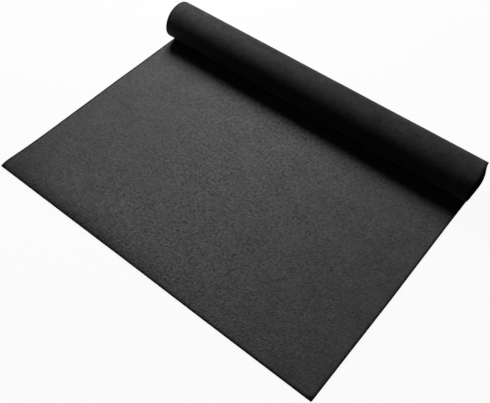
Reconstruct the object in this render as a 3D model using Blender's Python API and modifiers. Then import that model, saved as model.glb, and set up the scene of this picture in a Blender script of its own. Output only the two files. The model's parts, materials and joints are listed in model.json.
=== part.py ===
"""Bike trainer mat: a rectangular sheet of soft foamed vinyl, flat at the front and rolled up at the back.

Metres, +Z up. X runs along the roll, and +Y from the free front edge to the roll. The origin is on the
floor, in the middle of the mat's box. The sheet lies flat from its front edge, turns up behind the roll,
goes over its top and winds inwards, so the outside of the roll is the mat's underside.
"""

import math

import bmesh
import bpy

# The sheet as it is cut.
SHEET_WIDTH = 0.762
SHEET_LENGTH = 1.524
SHEET_THICKNESS = 0.004
CORNER_RADIUS = 0.002

# How it lies: the flat run ends on the line where the sheet leaves the floor. The gap is the least between
# two turns, and the squash is the share by which the soft roll has sunk and spread under its own weight.
FLAT_RUN = 0.5264
CORE_DIAMETER = 0.038
TURN_GAP = 0.0005
ROLL_SQUASH = 0.02

# How finely the bends are divided.
STEPS_PER_TURN = 64
CORNER_STEPS = 4

# The finish.
CHARCOAL = (0.045, 0.045, 0.047, 1.0)
ROUGHNESS = 0.62
SHARP_ANGLE = math.radians(40)

# Sizes that follow. The spiral is of the middle of the sheet's thickness: its radius is ROLL_RADIUS at the
# floor line and shrinks by TURN_PITCH a turn, to CORE_RADIUS at its end.
ROLLED_LENGTH = SHEET_LENGTH - FLAT_RUN
TURN_PITCH = (SHEET_THICKNESS + TURN_GAP) / (1 - ROLL_SQUASH)
CORE_RADIUS = (CORE_DIAMETER + SHEET_THICKNESS) / 2
ROLL_RADIUS = math.sqrt(CORE_RADIUS**2 + TURN_PITCH * ROLLED_LENGTH / math.pi)
ROLL_ANGLE = 2 * math.pi * (ROLL_RADIUS - CORE_RADIUS) / TURN_PITCH
AXIS_HEIGHT = ROLL_RADIUS * (1 - ROLL_SQUASH) + SHEET_THICKNESS / 2
BACK_RADIUS = ROLL_RADIUS - TURN_PITCH / 4
BACK_REACH = BACK_RADIUS * (1 + ROLL_SQUASH) + SHEET_THICKNESS / 2
FRONT_EDGE = -(FLAT_RUN + BACK_REACH) / 2


def clear_scene():
    """Remove every object that the scene holds."""
    for found in list(bpy.data.objects):
        bpy.data.objects.remove(found, do_unlink=True)


def rolled_up_to(angle):
    """The length of sheet in the roll from the floor line to this angle of the spiral."""
    return ROLL_RADIUS * angle - TURN_PITCH * angle**2 / (4 * math.pi)


def angle_after(rolled):
    """The angle of the spiral that this length of sheet reaches."""
    radius = math.sqrt(ROLL_RADIUS**2 - TURN_PITCH * rolled / math.pi)
    return (ROLL_RADIUS - radius) * 2 * math.pi / TURN_PITCH


def place_at(distance):
    """(y, z) of the sheet's middle at a distance from its front edge, first flat and then in the spiral."""
    if distance <= FLAT_RUN:
        return FRONT_EDGE + distance, SHEET_THICKNESS / 2
    angle = angle_after(distance - FLAT_RUN)
    radius = ROLL_RADIUS - TURN_PITCH * angle / (2 * math.pi)
    y = FRONT_EDGE + FLAT_RUN + radius * (1 + ROLL_SQUASH) * math.sin(angle)
    z = AXIS_HEIGHT - radius * (1 - ROLL_SQUASH) * math.cos(angle)
    return y, z


def half_width_at(distance):
    """Half of the sheet's width at a distance from its front edge, less within a corner's rounding."""
    from_end = max(min(distance, SHEET_LENGTH - distance), 0.0)
    if from_end >= CORNER_RADIUS:
        return SHEET_WIDTH / 2
    rounding = math.sqrt(CORNER_RADIUS**2 - (CORNER_RADIUS - from_end) ** 2)
    return SHEET_WIDTH / 2 - CORNER_RADIUS + rounding


def row_distances():
    """Distances from the front edge at which the sheet gets a row: at its corners and round each turn."""
    quarter = [i / CORNER_STEPS * math.pi / 2 for i in range(CORNER_STEPS + 1)]
    corner = [CORNER_RADIUS * (1 - math.cos(a)) for a in quarter]
    steps = math.ceil(ROLL_ANGLE / (2 * math.pi) * STEPS_PER_TURN)
    spiral = [FLAT_RUN + rolled_up_to(ROLL_ANGLE * i / steps) for i in range(steps)]
    last_corner = SHEET_LENGTH - CORNER_RADIUS
    in_the_roll = [d for d in spiral if d < last_corner - CORNER_RADIUS]
    return corner + in_the_roll + [SHEET_LENGTH - d for d in reversed(corner)]


def sheet_mesh():
    """The sheet's middle surface: a cross edge at the front, extruded from row to row."""
    bm = bmesh.new()
    rows = row_distances()
    y, z = place_at(rows[0])
    half = half_width_at(rows[0])
    edge = bm.edges.new([bm.verts.new((-half, y, z)), bm.verts.new((half, y, z))])
    for distance in rows[1:]:
        made = bmesh.ops.extrude_edge_only(bm, edges=[edge])["geom"]
        edge = next(g for g in made if isinstance(g, bmesh.types.BMEdge))
        y, z = place_at(distance)
        half = half_width_at(distance)
        for corner in edge.verts:
            corner.co = (math.copysign(half, corner.co.x), y, z)
    bmesh.ops.recalc_face_normals(bm, faces=bm.faces)
    mesh = bpy.data.meshes.new("mat")
    bm.to_mesh(mesh)
    bm.free()
    return mesh


def charcoal_vinyl():
    """Matt near-black foamed vinyl."""
    material = bpy.data.materials.new("charcoal_vinyl")
    material.use_nodes = True
    shader = material.node_tree.nodes["Principled BSDF"]
    shader.inputs["Base Color"].default_value = CHARCOAL
    shader.inputs["Roughness"].default_value = ROUGHNESS
    shader.inputs["Metallic"].default_value = 0.0
    return material


def give_thickness(sheet):
    """Thicken the middle surface to the sheet's full thickness, and shade its bends smooth."""
    solidify = sheet.modifiers.new("thickness", "SOLIDIFY")
    solidify.thickness = SHEET_THICKNESS
    solidify.offset = 0.0
    solidify.use_even_offset = True
    evaluated = sheet.evaluated_get(bpy.context.evaluated_depsgraph_get())
    thick = bpy.data.meshes.new_from_object(evaluated)
    sheet.modifiers.clear()
    sheet.data = thick
    thick.name = "mat"
    thick.shade_smooth()
    thick.set_sharp_from_angle(angle=SHARP_ANGLE)


def make_mat():
    """The whole mat, in a collection of its own."""
    group = bpy.data.collections.new("bike_trainer_mat")
    bpy.context.scene.collection.children.link(group)
    sheet = bpy.data.objects.new("mat", sheet_mesh())
    group.objects.link(sheet)
    sheet.data.materials.append(charcoal_vinyl())
    give_thickness(sheet)


clear_scene()
make_mat()
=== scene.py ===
"""A bike trainer mat, partly laid flat and partly rolled up, on a pale floor."""

import json
import math

import bpy
from mathutils import Matrix, Vector

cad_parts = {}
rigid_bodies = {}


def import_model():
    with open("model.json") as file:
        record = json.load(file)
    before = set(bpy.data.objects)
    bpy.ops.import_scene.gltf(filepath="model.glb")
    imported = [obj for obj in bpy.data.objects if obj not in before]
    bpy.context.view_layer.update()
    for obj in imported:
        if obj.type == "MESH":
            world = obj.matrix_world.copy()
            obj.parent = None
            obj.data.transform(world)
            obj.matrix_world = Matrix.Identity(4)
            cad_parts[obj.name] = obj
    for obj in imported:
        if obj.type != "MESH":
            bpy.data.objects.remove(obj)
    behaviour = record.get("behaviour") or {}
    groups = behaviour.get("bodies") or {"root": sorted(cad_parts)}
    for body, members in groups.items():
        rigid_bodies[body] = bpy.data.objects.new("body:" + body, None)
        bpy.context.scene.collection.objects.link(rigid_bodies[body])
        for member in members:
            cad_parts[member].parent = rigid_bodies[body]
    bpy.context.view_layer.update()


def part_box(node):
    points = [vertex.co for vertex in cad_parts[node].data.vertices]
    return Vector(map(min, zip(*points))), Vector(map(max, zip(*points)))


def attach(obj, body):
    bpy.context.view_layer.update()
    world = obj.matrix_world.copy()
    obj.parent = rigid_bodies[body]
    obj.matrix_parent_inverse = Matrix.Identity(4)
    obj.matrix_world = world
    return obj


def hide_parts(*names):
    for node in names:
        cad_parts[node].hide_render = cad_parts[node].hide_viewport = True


for left_over in list(bpy.data.objects):
    bpy.data.objects.remove(left_over, do_unlink=True)
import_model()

# The sheet.
# One rectangle of foamed vinyl, 4 mm thick, cut square. It lies flat from its front edge, turns up
# behind the roll and winds inwards over its top, so the outside of the roll is its underside.

mat_low, mat_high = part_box("mat")
SHEET_THICKNESS = 0.004
SHEET_LENGTH = 1.524
SHEET_WIDTH = mat_high.x - mat_low.x
SHEET_SIZES = {
    "Width": SHEET_WIDTH,
    "Length": SHEET_LENGTH,
    "Thickness": SHEET_THICKNESS,
    "Corner radius": 0.002,
    "Flat run": 0.5264,
    "Core diameter": 0.038,
    "Turn gap": 0.0005,
    "Squash": 0.02,
    "Front edge": mat_low.y,
}
SHEET_ROWS = 520
SHEET_COLUMNS = 60
CORNER_ROWS = 4
EDGE_ROUNDING = 0.0004
EDGE_SEGMENTS = 2
SHARPEST_SMOOTH = math.radians(40)

# How far the soft sheet strays from that form. It lies in broad waves, and its front edge droops
# from a low ridge that dies away to the right.
NOISE_MIDDLE = 0.5
WAVE_HEIGHT = 0.0016
WAVE_SIZE = 0.16
WAVE_ROUGHNESS = 0.4
RIDGE_HEIGHT = 0.0032
RIDGE_FROM_FRONT = 0.019
RIDGE_STARTS = 0.4
RIDGE_SPAN = 0.66

# Each bend of the roll's right end: its angle from the floor line, its spread and its shift
# outwards. The turns inside follow the outer one by less and less.
END_BENDS = (
    (math.radians(50), math.radians(25), 0.0017),
    (math.radians(107), math.radians(29), -0.0068),
    (math.radians(222), math.radians(52), 0.0105),
)
END_SHARE = 0.12
BEND_FADES_IN = 2 * math.pi * 1.2

# The right side is drawn in by the pull of the roll, most at the line where it leaves the floor.
# The turns aren't quite flush, and wander at each end in their own way.
FOOT_DRAWN_IN = 0.0022
FOOT_STARTS = -0.05
FOOT_SPAN = 0.2
FOOT_FADES_IN = 0.008
TURN_WANDER = 0.004
WANDER_SIZE = 0.09
WANDER_STARTS = 0.06
ENDS_APART = 2


class Wire:
    """A socket of a node tree that takes part in arithmetic: each operation adds one Math node."""

    def __init__(self, tree, socket=None):
        self.tree = tree
        self.socket = socket

    def join(self, socket, value):
        """Feed a node's input with a wire's link or with a plain value."""
        if isinstance(value, Wire):
            self.tree.links.new(value.socket, socket)
        else:
            socket.default_value = value

    def add(self, kind, settings=None, sockets=None, output=0):
        """Any other node: first its settings, then its inputs. Gives the wire of one output."""
        node = self.tree.nodes.new(kind)
        for name, value in (settings or {}).items():
            setattr(node, name, value)
        for name, value in (sockets or {}).items():
            self.join(node.inputs[name], value)
        return Wire(self.tree, node.outputs[output])

    def maths(self, operation, *terms):
        return self.add("ShaderNodeMath", {"operation": operation}, dict(enumerate(terms)))

    def __add__(self, other):
        return self.maths("ADD", self, other)

    def __sub__(self, other):
        return self.maths("SUBTRACT", self, other)

    def __rsub__(self, other):
        return self.maths("SUBTRACT", other, self)

    def __mul__(self, other):
        return self.maths("MULTIPLY", self, other)

    def __truediv__(self, other):
        return self.maths("DIVIDE", self, other)

    def __pow__(self, other):
        return self.maths("POWER", self, other)

    __radd__ = __add__
    __rmul__ = __mul__


def hump(value, middle, spread):
    """1 where the value is at its middle, fading smoothly to 0 beyond its spread on either side."""
    away = (value - middle) / spread
    return away.maths("EXPONENT", away * away * -1)


def clamped(value, highest=1):
    return value.maths("MINIMUM", value.maths("MAXIMUM", value, 0), highest)


def noise_on(bench, spot, size, detail=2.0, roughness=0.5):
    return bench.add(
        "ShaderNodeTexNoise",
        None,
        {"Vector": spot, "Scale": 1 / size, "Detail": detail, "Roughness": roughness},
        "Fac",
    )


def winding_tree(finish):
    """Geometry Nodes that lay a grid of rows and columns along the mat's path, at mid thickness."""
    tree = bpy.data.node_groups.new("wound_sheet", "GeometryNodeTree")
    for name in SHEET_SIZES:
        tree.interface.new_socket(name, in_out="INPUT", socket_type="NodeSocketFloat")
    tree.interface.new_socket("Geometry", in_out="OUTPUT", socket_type="NodeSocketGeometry")
    given = tree.nodes.new("NodeGroupInput")
    size = {name: Wire(tree, given.outputs[name]) for name in SHEET_SIZES}
    bench = Wire(tree)

    # A grid whose X runs from -1 to 1 across the sheet and whose Y counts its rows.
    row_span = SHEET_ROWS - 1
    wound = bench.add(
        "GeometryNodeMeshGrid",
        None,
        {
            "Size X": 2.0,
            "Size Y": float(row_span),
            "Vertices X": SHEET_COLUMNS,
            "Vertices Y": SHEET_ROWS,
        },
    )
    place = bench.add("GeometryNodeInputPosition")
    side = bench.add("ShaderNodeSeparateXYZ", None, {"Vector": place}, "X")
    row = bench.add("ShaderNodeSeparateXYZ", None, {"Vector": place}, "Y") + row_span / 2

    # Its rows spread along the sheet, close together round the corners at either end.
    near_turn = clamped(row / CORNER_ROWS) * (math.pi / 2)
    far_turn = clamped((row_span - row) / CORNER_ROWS) * (math.pi / 2)
    middle_rows = row_span - 2 * CORNER_ROWS
    corner = size["Corner radius"]
    step = (size["Length"] - corner * 2) / middle_rows
    past_corner = clamped(row - CORNER_ROWS, middle_rows) * step
    along = corner * (1 - row.maths("COSINE", near_turn)) + past_corner
    along = along + corner * row.maths("COSINE", far_turn)
    turned = row.maths("SINE", near_turn) + row.maths("SINE", far_turn)
    half_width = size["Width"] / 2 - corner * (2 - turned)
    across = side * half_width

    # The path: flat to the floor line, then an inward spiral that has sunk and spread a little.
    rolled = row.maths("MAXIMUM", along - size["Flat run"], 0)
    pitch = (size["Thickness"] + size["Turn gap"]) / (1 - size["Squash"])
    core = (size["Core diameter"] + size["Thickness"]) / 2
    in_roll = size["Length"] - size["Flat run"]
    outer = (core * core + pitch * in_roll / math.pi) ** 0.5
    radius = (outer * outer - pitch * rolled / math.pi) ** 0.5
    angle = (outer - radius) * (2 * math.pi) / pitch
    wide = size["Squash"] + 1
    low = 1 - size["Squash"]
    reach = row.maths("MINIMUM", along, size["Flat run"])
    y = size["Front edge"] + reach + radius * wide * row.maths("SINE", angle)
    z = size["Thickness"] / 2 + outer * low - radius * low * row.maths("COSINE", angle)

    # The ridge behind the front edge, the bends of the roll's right end, the drawn-in foot, and the
    # turns that wander out and in.
    from_front = along / RIDGE_FROM_FRONT
    ridge = from_front * row.maths("EXPONENT", 1 - from_front) * RIDGE_HEIGHT
    ridge = ridge * clamped((RIDGE_STARTS - side) / RIDGE_SPAN)
    round_turn = row.maths("MODULO", angle, 2 * math.pi)
    bends = sum(hump(round_turn, middle, spread) * shift for middle, spread, shift in END_BENDS)
    bends = bends * row.maths("EXPONENT", angle / -BEND_FADES_IN)
    bends = bends * clamped((side - (1 - END_SHARE)) / END_SHARE)
    foot = row.maths("EXPONENT", rolled * rolled / -(FOOT_FADES_IN**2))
    foot = foot * clamped((y - FOOT_STARTS) / FOOT_SPAN)
    wander_spot = bench.add(
        "ShaderNodeCombineXYZ", None, {"X": side * ENDS_APART, "Y": along / WANDER_SIZE}
    )
    wander = noise_on(bench, wander_spot, 1.0, detail=1.0) - NOISE_MIDDLE
    near_end = clamped((row.maths("ABSOLUTE", side) - (1 - END_SHARE)) / END_SHARE)
    wander = wander * TURN_WANDER * near_end * clamped(rolled / WANDER_STARTS)
    sideways = bends + wander - foot * clamped(side) * FOOT_DRAWN_IN

    # Where each point lies on the flat sheet, and how far from its cut edge, kept for the finishes.
    from_ends = row.maths("MINIMUM", along, size["Length"] - along)
    from_sides = half_width - row.maths("ABSOLUTE", across)
    from_edge = row.maths("MINIMUM", from_sides, from_ends)
    sheet_spot = bench.add("ShaderNodeCombineXYZ", None, {"X": across, "Y": along})
    for name, kind, value in (
        ("sheet_spot", "FLOAT_VECTOR", sheet_spot),
        ("from_edge", "FLOAT", from_edge),
    ):
        wound = bench.add(
            "GeometryNodeStoreNamedAttribute",
            {"data_type": kind, "domain": "POINT"},
            {"Geometry": wound, "Name": name, "Value": value},
        )
    spot = bench.add("ShaderNodeCombineXYZ", None, {"X": across + sideways, "Y": y, "Z": z + ridge})
    wound = bench.add("GeometryNodeSetPosition", None, {"Geometry": wound, "Position": spot})

    # Broad shallow waves, along the normal. Neighbouring turns move together, so their gap stays.
    swell = noise_on(bench, place, WAVE_SIZE, detail=1.0, roughness=WAVE_ROUGHNESS)
    lift = row.maths("MAXIMUM", swell - NOISE_MIDDLE, 0) * (WAVE_HEIGHT / NOISE_MIDDLE)
    normal = bench.add("GeometryNodeInputNormal")
    offset = bench.add("ShaderNodeVectorMath", {"operation": "SCALE"}, {0: normal, "Scale": lift})
    wound = bench.add("GeometryNodeSetPosition", None, {"Geometry": wound, "Offset": offset})
    wound = bench.add("GeometryNodeRealizeInstances", None, {"Geometry": wound})
    wound = bench.add("GeometryNodeSetMaterial", None, {"Geometry": wound, "Material": finish})
    bench.join(tree.nodes.new("NodeGroupOutput").inputs["Geometry"], wound)
    return tree


def new_finish(name):
    """An empty material, with a bench to add its nodes on and its Principled shader."""
    material = bpy.data.materials.new(name)
    material.use_nodes = True
    shader = material.node_tree.nodes["Principled BSDF"]
    return material, Wire(material.node_tree), shader.inputs


# The top skin: charcoal, matt, with a fine pebble grain that is deepest down the middle. Its colour
# is painted paler down the middle and darker towards its sides, a painted pool of light. It is
# darker in a narrow band along the cut edge, and painted shade darkens a band behind the drooping
# front edge, widest at its left corner.
TOP_GREY = 0.0725
TOP_TONE = 0.36
TOP_PATCHES = ((0.009, 0.4), (0.015, 0.5), (0.05, 0.4))
BLUE_TINGE = 1.01
TOP_ROUGHNESS = 0.62
CREASE_ROUGHNESS = 0.1
DOME_POLISH = 0.12
TOP_SPECULAR = 0.015
PEBBLE_SIZE = 0.0038
PEBBLE_SOFTNESS = 0.25
PEBBLE_SCATTER = 0.9
TOP_PEBBLE_DEPTH = 0.0012
GRAIN_SIZE = 0.0055
GRAIN_SHARE = 2.0
CREASE_SHARE = 0.3
DOME_MEAN = 0.83
RELIEF_AND_LIGHT_MIDDLE = 0.0
# Down the middle the grain is deepest and the painted light is palest.
RELIEF_AND_LIGHT_SPREAD = 0.26
RELIEF_LEAST = 0.2
RELIEF_IN_MIDDLE = 0.5
RELIEF_PATCHES = ((0.06, 0.5),)
# The painted light: paler down the middle and darker towards the sides.
PAINTED_SHADE_SIDES = 0.86
PAINTED_LIGHT_MIDDLE = 0.25
CUT_BAND_FROM = 0.001
CUT_BAND_TO = 0.006
CUT_FADE = 1.4
CUT_DARKENING = 0.9
# The painted shade behind the drooping front edge, widest at its left corner.
FRONT_SHADE_REACH = 0.06
FRONT_SHADE_CORNER_REACH = 0.09
FRONT_SHADE_CORNER_STARTS = -0.28
FRONT_SHADE_CORNER_SPAN = 0.07
FRONT_SHADE_LEAST = 0.2
FRONT_SHADE_STARTS = 0.15
FRONT_SHADE_SPAN = 0.25
FRONT_SHADE_FADE = 1.2
FRONT_SHADE_DARKENING = 0.44


def at_spot(bench):
    """Where a point lies on the flat sheet."""
    return bench.add("ShaderNodeAttribute", {"attribute_name": "sheet_spot"}, None, "Vector")


def patches_on(bench, spot, patches):
    """Soft patches laid over each other, each given by its size and its share of the tone."""
    return sum(noise_on(bench, spot, size) * share for size, share in patches)


def pebbles_on(bench, spot):
    """The height of low domes round scattered points: 1 on top, least in the creases between."""
    from_top = bench.add(
        "ShaderNodeTexVoronoi",
        {"voronoi_dimensions": "2D", "feature": "SMOOTH_F1"},
        {
            "Vector": spot,
            "Scale": 1 / PEBBLE_SIZE,
            "Smoothness": PEBBLE_SOFTNESS,
            "Randomness": PEBBLE_SCATTER,
        },
        "Distance",
    )
    return 1 - from_top * from_top


def cut_shade(bench):
    """How much of its tone the skin keeps: least at the cut edge, all of it past the cut band."""
    inwards = bench.add("ShaderNodeAttribute", {"attribute_name": "from_edge"}, None, "Fac")
    band = CUT_BAND_TO - CUT_BAND_FROM
    return 1 - (1 - clamped((inwards - CUT_BAND_FROM) / band)) ** CUT_FADE * CUT_DARKENING


def grey(bench, value):
    return bench.add(
        "ShaderNodeCombineColor", None, {"Red": value, "Green": value, "Blue": value * BLUE_TINGE}
    )


def skin_roughness(mean, pebble):
    """Rough in the creases, and a little polished on top of the domes."""
    return mean + CREASE_ROUGHNESS - pebble * DOME_POLISH


def pressed(bench, depth, height):
    return bench.add("ShaderNodeBump", None, {"Strength": 1.0, "Distance": depth, "Height": height})


top_skin, top, top_inputs = new_finish("charcoal_pebbled_skin")
spot = at_spot(top)
pebble = pebbles_on(top, spot)
across = top.add("ShaderNodeSeparateXYZ", None, {"Vector": spot}, "X")
along = top.add("ShaderNodeSeparateXYZ", None, {"Vector": spot}, "Y")
# Painted shade behind the drooping front edge: a band, darker towards the edge, widest at the left
# corner and weaker to the right.
reach = clamped((FRONT_SHADE_CORNER_STARTS - across) / FRONT_SHADE_CORNER_SPAN) * FRONT_SHADE_CORNER_REACH + FRONT_SHADE_REACH
front_shade_leftwards = clamped((FRONT_SHADE_STARTS - across) / FRONT_SHADE_SPAN) * (1 - FRONT_SHADE_LEAST) + FRONT_SHADE_LEAST
painted_front_shade = (1 - clamped(along / reach)) ** FRONT_SHADE_FADE * front_shade_leftwards
deep_and_lit = hump(across, RELIEF_AND_LIGHT_MIDDLE, RELIEF_AND_LIGHT_SPREAD)
relief = deep_and_lit * RELIEF_IN_MIDDLE + patches_on(top, spot, RELIEF_PATCHES) + RELIEF_LEAST
mottle = patches_on(top, spot, TOP_PATCHES)
grain = (noise_on(top, spot, GRAIN_SIZE) - NOISE_MIDDLE) * GRAIN_SHARE
grain = grain + (pebble - DOME_MEAN) * CREASE_SHARE
# Painted light: the tone is painted paler down the middle and darker towards the sides.
shade = (mottle + grain * relief + TOP_TONE) * (deep_and_lit * PAINTED_LIGHT_MIDDLE + PAINTED_SHADE_SIDES)
shade = shade * cut_shade(top) * (1 - painted_front_shade * FRONT_SHADE_DARKENING)
top.join(top_inputs["Base Color"], grey(top, shade * TOP_GREY))
top.join(top_inputs["Roughness"], skin_roughness(TOP_ROUGHNESS, pebble))
top.join(top_inputs["Normal"], pressed(top, TOP_PEBBLE_DEPTH, pebble * relief))
top_inputs["Specular IOR Level"].default_value = TOP_SPECULAR

# The underside, which is the outside of the roll: blacker, with the same grain pressed less deep,
# and a painted highlight that makes it a little paler towards its sides, the ends of the roll.
UNDER_GREY = 0.026
UNDER_TONE = -0.2
UNDER_PATCHES = ((0.01, 0.7), (0.03, 0.9))
UNDER_DOME_SHARE = 0.5
UNDER_ROUGHNESS = 0.5
UNDER_SPECULAR = 0.008
UNDER_PEBBLE_DEPTH = 0.0003
# The painted highlight towards the ends of the roll.
PAINTED_HIGHLIGHT_FROM = 0.1
PAINTED_HIGHLIGHT_SPAN = 0.28
PAINTED_HIGHLIGHT_PALENESS = 0.25

under_skin, under, under_inputs = new_finish("black_smooth_skin")
spot = at_spot(under)
pebble = pebbles_on(under, spot)
mottle = patches_on(under, spot, UNDER_PATCHES) + UNDER_TONE
across = under.add("ShaderNodeSeparateXYZ", None, {"Vector": spot}, "X")
# Painted highlight: the skin is painted paler towards the ends of the roll.
painted_highlight_sides = clamped((across.maths("ABSOLUTE", across) - PAINTED_HIGHLIGHT_FROM) / PAINTED_HIGHLIGHT_SPAN)
shade = (mottle + pebble * UNDER_DOME_SHARE) * (painted_highlight_sides * PAINTED_HIGHLIGHT_PALENESS + 1) * cut_shade(under)
under.join(under_inputs["Base Color"], grey(under, shade * UNDER_GREY))
under.join(under_inputs["Roughness"], skin_roughness(UNDER_ROUGHNESS, pebble))
under.join(under_inputs["Normal"], pressed(under, UNDER_PEBBLE_DEPTH, pebble))
under_inputs["Specular IOR Level"].default_value = UNDER_SPECULAR

# The cut edge: bare black foam, matt, with open cells that a knife has gone through.
FOAM_GREY = 0.012
FOAM_TONE = 0.6
CELL_SHARE = 0.7
FOAM_ROUGHNESS = 0.85
FOAM_SPECULAR = 0.0
CELL_SIZE = 0.0007
CELL_DEPTH = 0.00016

cut_foam, foam, foam_inputs = new_finish("black_cut_foam")
object_place = foam.add("ShaderNodeTexCoord", None, None, "Object")
cells = noise_on(foam, object_place, CELL_SIZE)
foam.join(foam_inputs["Base Color"], grey(foam, (cells * CELL_SHARE + FOAM_TONE) * FOAM_GREY))
foam.join(foam_inputs["Normal"], pressed(foam, CELL_DEPTH, cells))
foam_inputs["Roughness"].default_value = FOAM_ROUGHNESS
foam_inputs["Specular IOR Level"].default_value = FOAM_SPECULAR

# The sheet is wound, made a plain mesh, and thickened to both sides of its middle. The top skin is
# its first finish, the underside its second and the cut foam its third.
sheet = bpy.data.objects.new("mat_sheet", bpy.data.meshes.new("mat_sheet"))
bpy.context.scene.collection.objects.link(sheet)
winding = sheet.modifiers.new("winding", "NODES")
winding.node_group = winding_tree(top_skin)
for item in winding.node_group.interface.items_tree:
    if item.name in SHEET_SIZES:
        winding[item.identifier] = SHEET_SIZES[item.name]
wound_mesh = bpy.data.meshes.new_from_object(
    sheet.evaluated_get(bpy.context.evaluated_depsgraph_get())
)
sheet.modifiers.clear()
sheet.data = wound_mesh
sheet.data.materials.append(under_skin)
sheet.data.materials.append(cut_foam)
sheet.data.shade_smooth()
thickness = sheet.modifiers.new("thickness", "SOLIDIFY")
thickness.thickness = SHEET_THICKNESS
thickness.offset = 0.0
thickness.use_even_offset = True
thickness.material_offset = 1
thickness.material_offset_rim = 2
rounding = sheet.modifiers.new("rounding", "BEVEL")
rounding.width = EDGE_ROUNDING
rounding.segments = EDGE_SEGMENTS
rounding.limit_method = "ANGLE"
rounding.angle_limit = SHARPEST_SMOOTH
rounding.harden_normals = True
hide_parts("mat")
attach(sheet, "root")

# The floor.
# A plain pale floor that keeps the mat's shadow. What looks at it sees it near white, and quite
# white away from the mat, where it runs into the surround.
FLOOR_SIZE = 30.0
FLOOR_PALE = (0.5, 0.5, 0.5, 1.0)
FLOOR_GLOW = 0.94
SHADOW_REACH = 0.7
FADE_SPAN = 1.2


def seen_directly(bench):
    """1 for rays from the eye, a mirror or a clear piece, 0 for those that only gather light."""
    ray = bench.add("ShaderNodeLightPath").socket.node.outputs
    eye, mirrored, clear = (
        Wire(bench.tree, ray[name])
        for name in ("Is Camera Ray", "Is Glossy Ray", "Is Transmission Ray")
    )
    return bench.maths("MAXIMUM", eye, bench.maths("MAXIMUM", mirrored, clear))


bpy.ops.mesh.primitive_plane_add(size=FLOOR_SIZE)
floor = bpy.context.object
floor.name = "floor"
pale = bpy.data.materials.new("pale_floor")
pale.use_nodes = True
pale.node_tree.nodes.clear()
ground = Wire(pale.node_tree)
matt = ground.add("ShaderNodeBsdfDiffuse", None, {"Color": FLOOR_PALE})
glow = ground.add("ShaderNodeEmission", None, {"Strength": 1.0})
floor_place = ground.add("ShaderNodeTexCoord", None, None, "Object")
from_mat = ground.add("ShaderNodeVectorMath", {"operation": "LENGTH"}, {0: floor_place}, "Value")
fade = clamped((from_mat - SHADOW_REACH) / FADE_SPAN)
white_share = seen_directly(ground) * (FLOOR_GLOW + fade * (1 - FLOOR_GLOW))
mixed = ground.add("ShaderNodeMixShader", None, {"Fac": white_share, 1: matt, 2: glow})
ground.join(pale.node_tree.nodes.new("ShaderNodeOutputMaterial").inputs["Surface"], mixed)
floor.data.materials.append(pale)

# The light.
# One large soft lamp above and behind the roll, towards the left, and a dim even surround that the
# eye sees as white.
LAMP_PLACE = Vector((-0.87, 0.91, 1.10))
LAMP_TARGET = Vector((-0.10, 0.0, 0.0))
LAMP_SIZE = 0.66
LAMP_POWER = 39.4
SURROUND = 0.015
SURROUND_WHITE = (1.0, 1.0, 1.0, 1.0)

lamp = bpy.data.lights.new("softbox", "AREA")
lamp.shape = "SQUARE"
lamp.size = LAMP_SIZE
lamp.energy = LAMP_POWER
softbox = bpy.data.objects.new("softbox", lamp)
softbox.location = LAMP_PLACE
softbox.rotation_mode = "QUATERNION"
softbox.rotation_quaternion = (LAMP_TARGET - LAMP_PLACE).to_track_quat("-Z", "Y")
bpy.context.scene.collection.objects.link(softbox)

world = bpy.data.worlds.new("surround")
world.use_nodes = True
bpy.context.scene.world = world
world.node_tree.nodes.clear()
sky = Wire(world.node_tree)
strength = seen_directly(sky) * (1 - SURROUND) + SURROUND
even = sky.add("ShaderNodeBackground", None, {"Color": SURROUND_WHITE, "Strength": strength})
sky.join(world.node_tree.nodes.new("ShaderNodeOutputWorld").inputs["Surface"], even)

# The camera.
# It looks down at the mat from the front right, a little tilted to one side.
CAMERA_PLACE = Vector((0.5511, mat_low.y - 0.3793, 1.0489))
CAMERA_AZIMUTH = math.radians(38.966)
CAMERA_ELEVATION = math.radians(52.7235)
CAMERA_ROLL = math.radians(0.3738)
CAMERA_LENS = 50.32

backward = Vector(
    (
        math.sin(CAMERA_AZIMUTH) * math.cos(CAMERA_ELEVATION),
        -math.cos(CAMERA_AZIMUTH) * math.cos(CAMERA_ELEVATION),
        math.sin(CAMERA_ELEVATION),
    )
)
level_right = Vector((math.cos(CAMERA_AZIMUTH), math.sin(CAMERA_AZIMUTH), 0.0))
turn = Matrix.Rotation(CAMERA_ROLL, 3, backward)
right = turn @ level_right
upward = backward.cross(right)
camera_data = bpy.data.cameras.new("camera")
camera_data.lens = CAMERA_LENS
camera = bpy.data.objects.new("camera", camera_data)
facing = Matrix((right, upward, backward)).transposed().to_4x4()
camera.matrix_world = Matrix.Translation(CAMERA_PLACE) @ facing
bpy.context.scene.collection.objects.link(camera)
bpy.context.scene.camera = camera
bpy.context.scene.view_settings.view_transform = "Standard"
